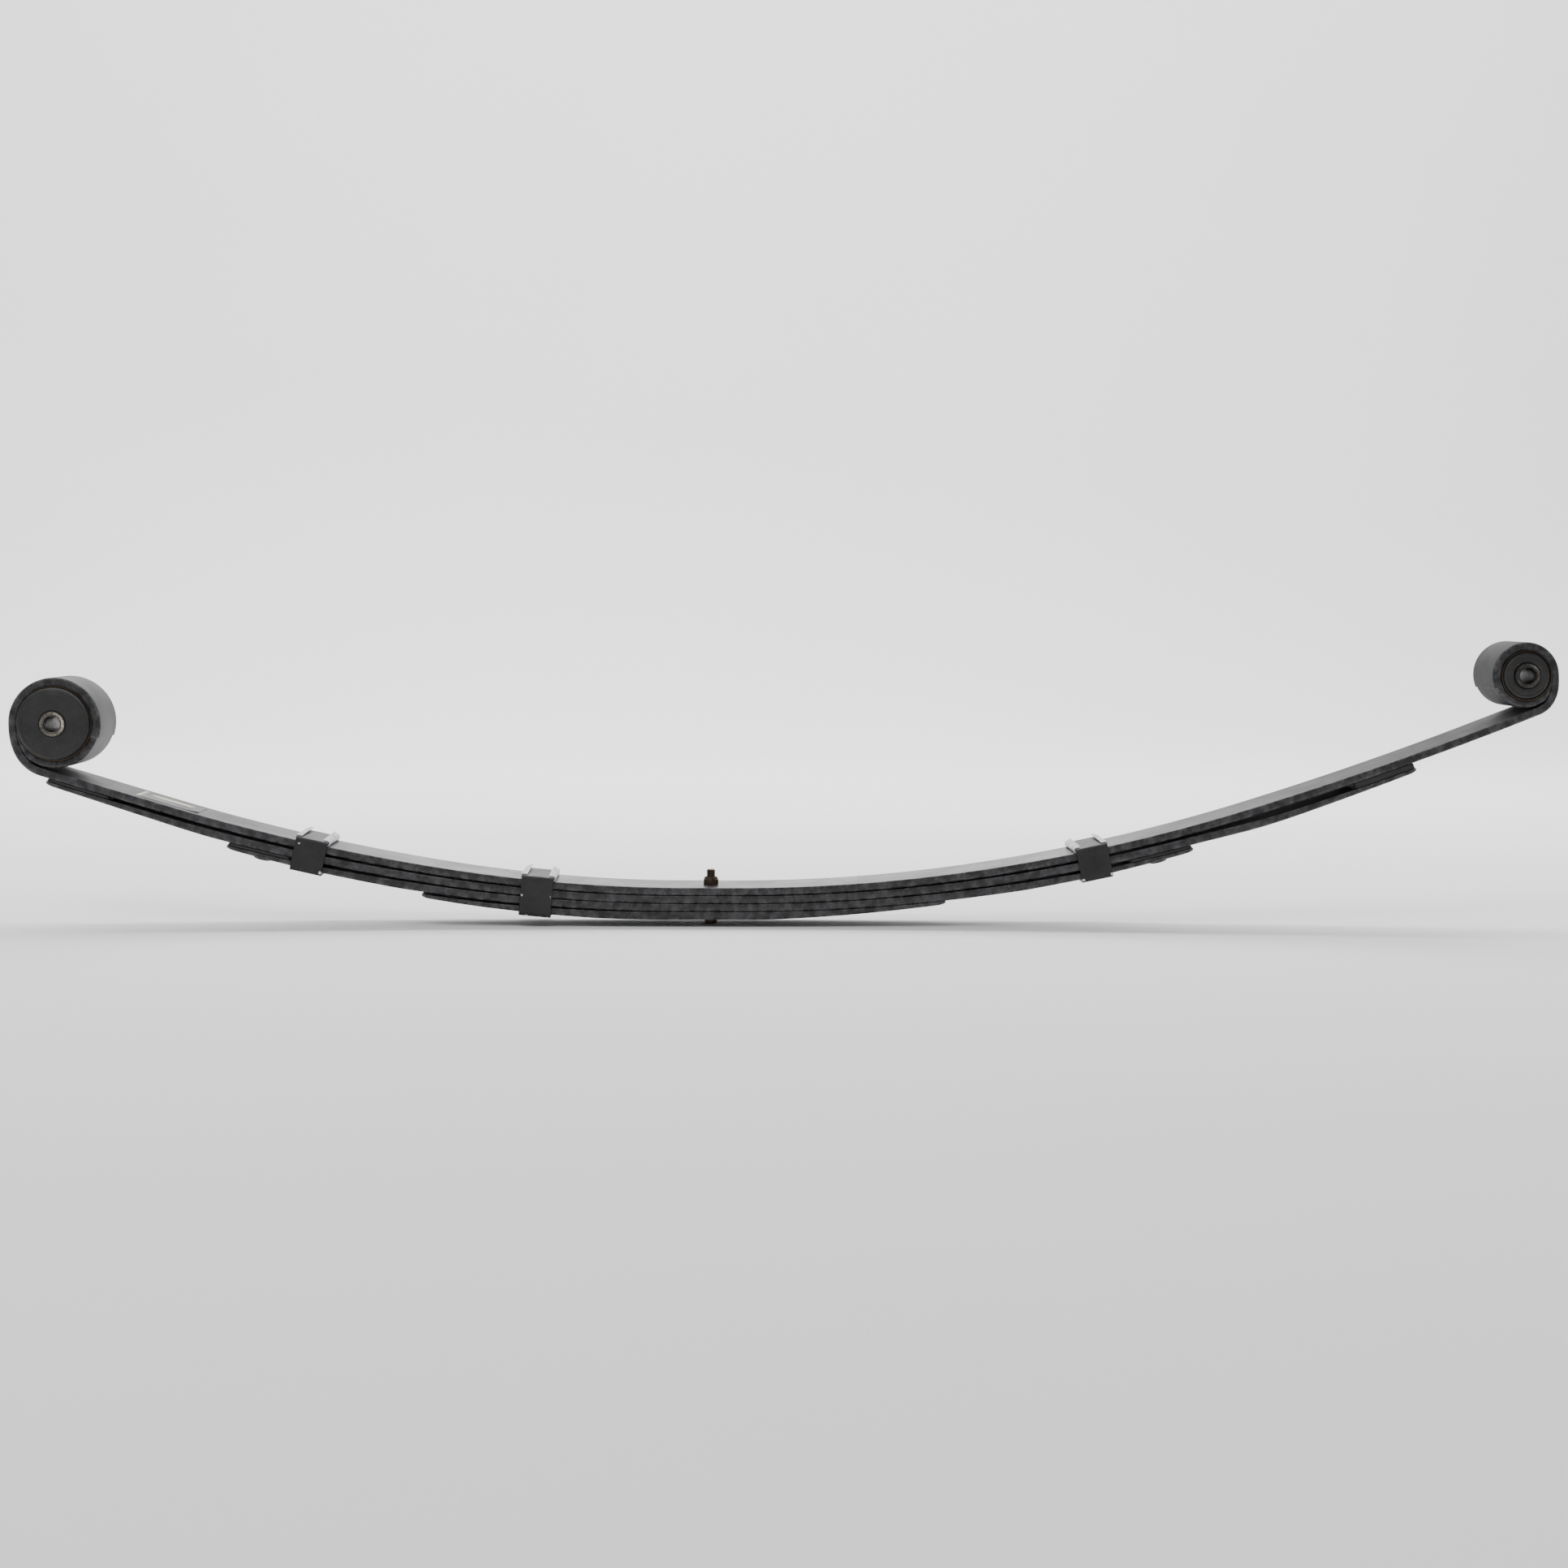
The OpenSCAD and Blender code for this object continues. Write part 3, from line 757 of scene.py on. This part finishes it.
def shell(name, end, out):
    r, half = EYES[end]["bore"] - 0.05, LEAF_W / 2 + out
    rim = [(r - 1.5, 0.3), (r - 1.2, 0.0), (r - 0.5, 0.0), (r - 0.1, 0.15), (r, 0.6)]
    worn = [0.5, 1, 1, 1, 0.3]
    return lathe(name, both_ends(rim, half), in_eye(end), around=112, wear=worn + worn[::-1] + [0.5])


BUSH = []
for end, word, out_shell, out_rubber, out_sleeve, ring, body in (
        (-1, "front", 0.4, 7.5, 8.5, 26.5, "pack"), (1, "rear", 1.5, 3.0, 5.0, 17.0, "rear_eye")):
    for kind, obj, rides in (
            ("shell", shell("bush_shell_" + word, end, out_shell), body),
            ("rubber", bush_rubber("bush_rubber_" + word, end, out_rubber, ring), body),
            ("sleeve", sleeve("bush_sleeve_" + word, end, out_sleeve, 44), word + "_sleeve")):
        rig.replaces(obj, word + "_bush_" + kind)
        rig.ride(obj, rides)
        BUSH.append(obj)
print("bush pieces:", len(BUSH))

# %% [markdown]
# ## A blank foil label
# A thin dark foil is stuck on the front arm near the eye. It is a sheet a quarter of a
# millimetre thick that follows the leaf's curve, with clipped corners and one corner
# starting to lift. It carries a plain worn gold band and no words.

# %% Label
LABEL_L, LABEL_W, LABEL_AT = 56, 44, -512


def label():
    rows, cols, verts, marks = 15, 13, [], []
    for i in range(rows):
        s = LABEL_AT + LABEL_L * i / (rows - 1)
        for j in range(cols):
            y = -LABEL_W / 2 + LABEL_W * j / (cols - 1)
            marks.append(1.0 if j in (7, 8) and 2 < i < 12 or i == 0 else 0.0)
            corner = max(0.0, abs(2 * i / (rows - 1) - 1) + abs(2 * j / (cols - 1) - 1) - 1.75)
            y *= 1 - corner * 0.12
            lift = 0.9 * max(0.0, (i / (rows - 1) - 0.75) * 4) ** 2 * max(0.0, 0.35 - j / (cols - 1)) * 2
            verts.append((s, y, 0.06 + lift))
    low = [on_line(s, 0, v, y) for s, y, v in verts]
    high = [on_line(s, 0, v + 0.25, y) for s, y, v in verts]
    faces, total = [], rows * cols
    for i in range(rows - 1):
        for j in range(cols - 1):
            a = i * cols + j
            b = total + a
            faces += [(a, a + 1, a + cols + 1, a + cols), (b, b + cols, b + cols + 1, b + 1)]
    rim = list(range(cols)) + [i * cols + cols - 1 for i in range(1, rows)]
    rim += [(rows - 1) * cols + j for j in range(cols - 2, -1, -1)]
    rim += [i * cols for i in range(rows - 2, 0, -1)]
    for a, b in zip(rim, rim[1:] + rim[:1]):
        faces.append((a, b, total + b, total + a))
    return mesh_object("label_foil", low + high, faces, marks * 2, 50)


in_place(label(), "part_label")
print("label, mm:", LABEL_L, "by", LABEL_W)

# %% [markdown]
# ## Bending under load
# When the spring is loaded the leaves flatten. The measured model has one hinge for that
# at the bolt. Everything on the pack is bent smoothly from the front eye, which stays,
# to the rear eye, which turns with the hinge, so the bars curve instead of breaking.

# %% Bend the pack with its joint
for piece in PACK:
    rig.blend(piece, "pack", "rear_eye", start=(-0.525, 0, 0.1), end=(0.680, 0, 0.1))
print("pieces that bend:", len(PACK))

# %% [markdown]
# ## Materials
# Every finish is built from noise at a real scale, in object space, so it needs no
# unwrapping. A small helper wires the parts that all finishes share: colour between two
# tones, roughness between two values, and a bump. Anything that is the same all over is
# set on the shader itself.

# %% Material helper
def new_material(name, slot_name, metallic=0.0, specular=0.5, coat=0.0, coat_rough=0.3):
    material = bpy.data.materials.new(name)
    material.use_nodes = True
    nodes, links = material.node_tree.nodes, material.node_tree.links
    shader = nodes["Principled BSDF"]
    shader.inputs["Metallic"].default_value = metallic
    shader.inputs["Specular IOR Level"].default_value = specular
    shader.inputs["Coat Weight"].default_value = coat
    shader.inputs["Coat Roughness"].default_value = coat_rough
    place = nodes.new("ShaderNodeTexCoord")
    return dict(material=material, nodes=nodes, links=links, shader=shader,
                where=place.outputs["Object"], slot=slot_name)


def noise(kit, scale, detail=4, rough=0.55, stretch=None, seed=0.0):
    """Noise with features about 1/scale metres apart; stretch scales the axes apart."""
    node = kit["nodes"].new("ShaderNodeTexNoise")
    node.inputs["Scale"].default_value = scale
    node.inputs["Detail"].default_value = detail
    node.inputs["Roughness"].default_value = rough
    mapping = kit["nodes"].new("ShaderNodeMapping")
    mapping.inputs["Location"].default_value = (seed, seed * 0.7, seed * 1.3)
    mapping.inputs["Scale"].default_value = stretch or (1, 1, 1)
    kit["links"].new(kit["where"], mapping.inputs["Vector"])
    kit["links"].new(mapping.outputs["Vector"], node.inputs["Vector"])
    return node.outputs["Fac"]


def ramp(kit, source, low, high, a=0.0, b=1.0):
    """Maps source from low..high to a..b, clipped."""
    node = kit["nodes"].new("ShaderNodeMapRange")
    for key, value in (("From Min", low), ("From Max", high), ("To Min", a), ("To Max", b)):
        node.inputs[key].default_value = value
    kit["links"].new(source, node.inputs["Value"])
    return node.outputs["Result"]


def math_node(kit, operation, a, b):
    node = kit["nodes"].new("ShaderNodeMath")
    node.operation = operation
    for i, value in enumerate((a, b)):
        if isinstance(value, (int, float)):
            node.inputs[i].default_value = value
        else:
            kit["links"].new(value, node.inputs[i])
    return node.outputs["Value"]


def tones(kit, factor, dark, light):
    node = kit["nodes"].new("ShaderNodeMix")
    node.data_type = "RGBA"
    kit["links"].new(factor, node.inputs["Factor"])
    for socket, value in ((node.inputs["A"], dark), (node.inputs["B"], light)):
        if isinstance(value, tuple):
            socket.default_value = (*value, 1)
        else:
            kit["links"].new(value, socket)
    return node.outputs["Result"]


def bump(kit, height, strength, distance, after=None):
    node = kit["nodes"].new("ShaderNodeBump")
    node.inputs["Strength"].default_value = strength
    node.inputs["Distance"].default_value = distance
    kit["links"].new(height, node.inputs["Height"])
    if after:
        kit["links"].new(after, node.inputs["Normal"])
    return node.outputs["Normal"]


def wear_value(kit):
    node = kit["nodes"].new("ShaderNodeAttribute")
    node.attribute_name = "wear"
    return node.outputs["Fac"]


def finish(kit, colour, rough, normal, metallic=None):
    links, shader = kit["links"], kit["shader"]
    links.new(colour, shader.inputs["Base Color"])
    links.new(rough, shader.inputs["Roughness"])
    links.new(normal, shader.inputs["Normal"])
    if metallic:
        links.new(metallic, shader.inputs["Metallic"])
    return kit["material"], kit["slot"]


# %% [markdown]
# ## Leaf paint
# The bars are shot peened and dipped in thin dark grey paint. Peening leaves dimples
# under a millimetre across; the thin coat follows them, so it looks matt face on and
# silvery at a glancing angle. Slow mottling shows where the paint ran. Along the rounded
# edges the colour is lighter, partly paint rubbed thin and partly a painted highlight.
# The faces that lie under the leaf above are painted near black, as painted shade in the
# gaps, so little light comes through them. The ends of the bars have been handled and
# are duller than the middle.

# %% Leaf paint
def leaf_paint():
    kit = new_material("leaf_paint", "leaf_paint", specular=0.22)
    mottle = noise(kit, 28, 5, 0.6)
    fine = noise(kit, 750, 3, 0.6, seed=3)
    streak = noise(kit, 60, 4, 0.6, stretch=(0.25, 2.2, 1), seed=7)
    body = tones(kit, ramp(kit, mottle, 0.35, 0.68), (0.0170, 0.0168, 0.0176), (0.0215, 0.0211, 0.0221))
    body = tones(kit, ramp(kit, streak, 0.58, 0.74, 0, 0.35), body, (0.036, 0.036, 0.038))
    # Painted highlight and wear: the rounded edges are lighter, partly rubbed paint and partly a highlight painted
    # where the edges catch the light.
    worn = math_node(kit, "MULTIPLY", wear_value(kit), ramp(kit, noise(kit, 120, 5, 0.7, seed=2), 0.42, 0.62))
    colour = tones(kit, math_node(kit, "MULTIPLY", worn, 0.8), body, (0.150, 0.148, 0.154))
    patches = ramp(kit, noise(kit, 210, 4, 0.7, seed=6), 0.46, 0.54)
    bare = math_node(kit, "MULTIPLY", ramp(kit, wear_value(kit), 0.75, 0.95), patches)
    colour = tones(kit, bare, colour, (0.30, 0.30, 0.31))
    # Painted shade: faces under the leaf above are painted near black, for the shade in the gaps between the leaves.
    painted_gap_shade = ramp(kit, wear_value(kit), -0.9, -0.1, 1, 0)
    colour = tones(kit, painted_gap_shade, colour, (0.0080, 0.0080, 0.0080))
    rough = ramp(kit, mottle, 0.3, 0.7, 0.33, 0.23)
    rough = math_node(kit, "ADD", rough, math_node(kit, "MULTIPLY", painted_gap_shade, 0.3))
    apart = kit["nodes"].new("ShaderNodeSeparateXYZ")
    kit["links"].new(kit["where"], apart.inputs["Vector"])
    rear = ramp(kit, apart.outputs["X"], 0.32, 0.66, 0, 0.36)
    front = ramp(kit, apart.outputs["X"], -0.25, -0.52, 0, 0.20)
    rough = math_node(kit, "ADD", rough, math_node(kit, "ADD", rear, front))
    normal = bump(kit, fine, 0.5, 0.0003)
    normal = bump(kit, noise(kit, 140, 3, seed=5), 0.08, 0.0005, normal)
    return finish(kit, colour, rough, normal)


LEAF_PAINT = leaf_paint()
print("finish:", LEAF_PAINT[0].name)

# %% [markdown]
# ## Clip paint with chips
# The clips are painted before they are folded, so the coat cracks on the folds and shows
# bright steel. The chip mask is wear from the mesh plus a ragged noise, cut off hard;
# where it is on, the surface is bare metal.

# %% Clip paint
def clip_paint():
    kit = new_material("clip_paint", "clip_paint", specular=0.25)
    cloud = noise(kit, 45, 5, 0.6, seed=4)
    body = tones(kit, ramp(kit, cloud, 0.35, 0.7), (0.0125, 0.0125, 0.0135), (0.0205, 0.0200, 0.0210))
    specks = ramp(kit, noise(kit, 420, 3, 0.6, seed=9), 0.70, 0.74)
    body = tones(kit, math_node(kit, "MULTIPLY", specks, 0.4), body, (0.070, 0.069, 0.068))
    ragged = math_node(kit, "MULTIPLY", noise(kit, 650, 5, 0.7, seed=1), 1.2)
    chips = ramp(kit, math_node(kit, "ADD", wear_value(kit), ragged), 1.76, 1.84)
    colour = tones(kit, chips, body, (0.50, 0.49, 0.48))
    rough = ramp(kit, cloud, 0.3, 0.7, 0.5, 0.4)
    rough = math_node(kit, "SUBTRACT", rough, math_node(kit, "MULTIPLY", chips, 0.15))
    height = math_node(kit, "SUBTRACT", noise(kit, 700, 2, seed=6), math_node(kit, "MULTIPLY", chips, 0.6))
    return finish(kit, colour, rough, bump(kit, height, 0.4, 0.0003), chips)


CLIP_PAINT = clip_paint()
print("finish:", CLIP_PAINT[0].name)

# %% [markdown]
# ## Bare metals
# Liners are plated sheet with faint roll lines; the bolt and nut are oiled bronze-brown
# steel; the sleeves are dull in the bore and bright on their bitten teeth, partly worn
# steel and partly a painted highlight strongest on the right and upper right; the foil is
# dark with a gold band. All are one metal recipe with different tones and grain.

# %% Metals
def metal(name, slot_name, dark, light, rough, grain, scale=60, worn=None):
    kit = new_material(name, slot_name, metallic=1.0)
    cloud = noise(kit, scale, 5, 0.6, seed=8)
    colour = tones(kit, ramp(kit, cloud, 0.32, 0.7), dark, light)
    if worn:
        patches = ramp(kit, noise(kit, 500, 3, seed=2), 0.35, 0.6, 0.4, 1)
        colour = tones(kit, math_node(kit, "MULTIPLY", wear_value(kit), patches), colour, worn)
    lines = noise(kit, 260, 3, 0.6, stretch=grain, seed=5)
    polish = ramp(kit, cloud, 0.3, 0.7, rough + 0.08, rough - 0.04)
    return finish(kit, colour, polish, bump(kit, lines, 0.25, 0.0002))


EVEN = (1, 1, 1)
LINER_STEEL = metal("liner_steel", "liner_steel", (0.17, 0.17, 0.18), (0.50, 0.50, 0.52),
                    0.34, (0.2, 3, 1), 150, (0.55, 0.55, 0.56))
BOLT_STEEL = metal("bolt_steel", "bolt_steel", (0.035, 0.026, 0.020), (0.125, 0.092, 0.066),
                   0.45, EVEN, 180)
# The pale tone on the sleeves' teeth is partly worn steel and partly a painted highlight.
SLEEVE_FRONT = metal("sleeve_front", "sleeve_steel", (0.022, 0.020, 0.018), (0.045, 0.041, 0.036),
                     0.38, EVEN, 200, (0.90, 0.85, 0.72))
SLEEVE_REAR = metal("sleeve_rear", "sleeve_steel", (0.018, 0.018, 0.017), (0.034, 0.033, 0.032),
                    0.42, EVEN, 200, (0.22, 0.21, 0.195))
SHELL_STEEL = metal("shell_steel", "shell_paint", (0.016, 0.014, 0.012), (0.034, 0.027, 0.021),
                    0.42, EVEN, 60, (0.050, 0.038, 0.028))
FOIL = metal("label_foil", "label_foil", (0.020, 0.020, 0.021), (0.034, 0.033, 0.034),
             0.40, (1, 3, 1), 30, (0.62, 0.54, 0.38))
print("metals:", [m[0].name for m in (LINER_STEEL, BOLT_STEEL, SLEEVE_FRONT, SLEEVE_REAR, SHELL_STEEL, FOIL)])

# %% [markdown]
# ## Rubber and plastic
# Moulded rubber is a soft dark grey with a dusty bloom in patches and a few pale specks
# of mould release. The pads are a harder, plainer plastic with a fine mould grain.

# %% Rubber and plastic
def rubber():
    kit = new_material("bush_rubber", "bush_rubber", specular=0.35)
    bloom = noise(kit, 70, 6, 0.65)
    colour = tones(kit, ramp(kit, bloom, 0.35, 0.7), (0.0100, 0.0100, 0.0100), (0.0185, 0.0180, 0.0175))
    specks = ramp(kit, noise(kit, 620, 2, 0.5, seed=12), 0.76, 0.79)
    colour = tones(kit, specks, colour, (0.20, 0.19, 0.18))
    grain = bump(kit, noise(kit, 800, 3, seed=3), 0.3, 0.0003)
    return finish(kit, colour, ramp(kit, bloom, 0.3, 0.7, 0.62, 0.5), grain)


def plastic():
    kit = new_material("pad_plastic", "pad_plastic", specular=0.4)
    cloud = noise(kit, 90, 4)
    colour = tones(kit, ramp(kit, cloud, 0.3, 0.7), (0.0100, 0.0100, 0.0100), (0.0190, 0.0185, 0.0180))
    grain = bump(kit, noise(kit, 1200, 2), 0.25, 0.0002)
    return finish(kit, colour, ramp(kit, cloud, 0.3, 0.7, 0.58, 0.48), grain)


RUBBER, PLASTIC = rubber(), plastic()
print("finishes:", RUBBER[0].name, PLASTIC[0].name)

# %% [markdown]
# ## Give each piece its finish
# The start of a piece's name says what it is, so a small table is enough.

# %% Assign finishes
FINISHES = {"leaf": LEAF_PAINT, "clip": CLIP_PAINT, "rivet": CLIP_PAINT, "liner": LINER_STEEL,
            "bolt": BOLT_STEEL, "nut": BOLT_STEEL, "pad": PLASTIC, "label": FOIL,
            "bush_rubber": RUBBER, "bush_shell": SHELL_STEEL,
            "bush_sleeve_front": SLEEVE_FRONT, "bush_sleeve_rear": SLEEVE_REAR}
for piece in PACK + BUSH:
    key = max((k for k in FINISHES if piece.name.startswith(k)), key=len)
    material, slot_name = FINISHES[key]
    piece.data.materials.clear()
    piece.data.materials.append(material)
    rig.slot(piece, slot_name)
print("pieces with a finish:", len(PACK + BUSH))

# %% [markdown]
# ## Studio
# A plain pale floor that curves up behind, a soft even sky and three large soft lights:
# one high in front, one above and behind, and one turned on the backdrop. Dark paint
# only shows its shape by what it mirrors, so the bright backdrop is what makes the top
# faces and the sides of the eyes pale while the front edges stay dark.

# %% Floor and lights
def backdrop():
    low = cad_box[0][2] - 0.0005
    start, curve = 2.4, 1.6
    rows = [(-4.0, low), (start, low)]
    for k in range(1, 16):
        a = math.radians(6 * k)
        rows.append((start + curve * math.sin(a), low + curve * (1 - math.cos(a))))
    rows.append((4.0, 6.0))
    verts = [(x * 1000, y * 1000, z * 1000) for y, z in rows for x in (-9, 9)]
    faces = [(2 * i, 2 * i + 1, 2 * i + 3, 2 * i + 2) for i in range(len(rows) - 1)]
    return mesh_object("floor", verts, faces)


floor = backdrop()
floor_kit = new_material("floor_paper", "", specular=0.1)
soft = noise(floor_kit, 2, 2)
paper = tones(floor_kit, soft, (0.90, 0.90, 0.90), (0.93, 0.93, 0.93))
tooth = bump(floor_kit, noise(floor_kit, 400), 0.05, 0.0002)
floor_material, _ = finish(floor_kit, paper, ramp(floor_kit, soft, 0, 1, 0.9, 0.95), tooth)
floor.data.materials.append(floor_material)
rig.stage(floor)

world = bpy.data.worlds.new("sky")
bpy.context.scene.world = world
world.use_nodes = True
world.node_tree.nodes["Background"].inputs["Color"].default_value = (0.97, 0.975, 1, 1)
world.node_tree.nodes["Background"].inputs["Strength"].default_value = 0.55


def soft_light(name, place, aim, size, watts):
    data = bpy.data.lights.new(name, "AREA")
    data.shape, data.size, data.size_y, data.energy = "RECTANGLE", size[0], size[1], watts
    lamp = bpy.data.objects.new(name, data)
    bpy.context.collection.objects.link(lamp)
    lamp.location = place
    lamp.rotation_euler = (Vector(aim) - Vector(place)).to_track_quat("-Z", "Y").to_euler()
    return lamp


soft_light("key", (-1.0, -2.2, 2.6), (0, 0, 0.1), (2.0, 1.4), 45)
soft_light("back", (0.4, 1.9, 2.1), (0, 0.2, 0.1), (3.6, 1.2), 60)
soft_light("backdrop", (0.0, 1.3, 3.2), (0, 3.6, 0.7), (6.0, 1.0), 230)
print("lights:", [o.name for o in bpy.context.scene.objects if o.type == "LIGHT"])

# %% Sizes and finish
visual_box = [list(map(float, c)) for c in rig.bounds()]
json.dump({"cad": cad_box, "visual": visual_box}, open("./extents.json", "w"))
print(open("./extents.json").read())
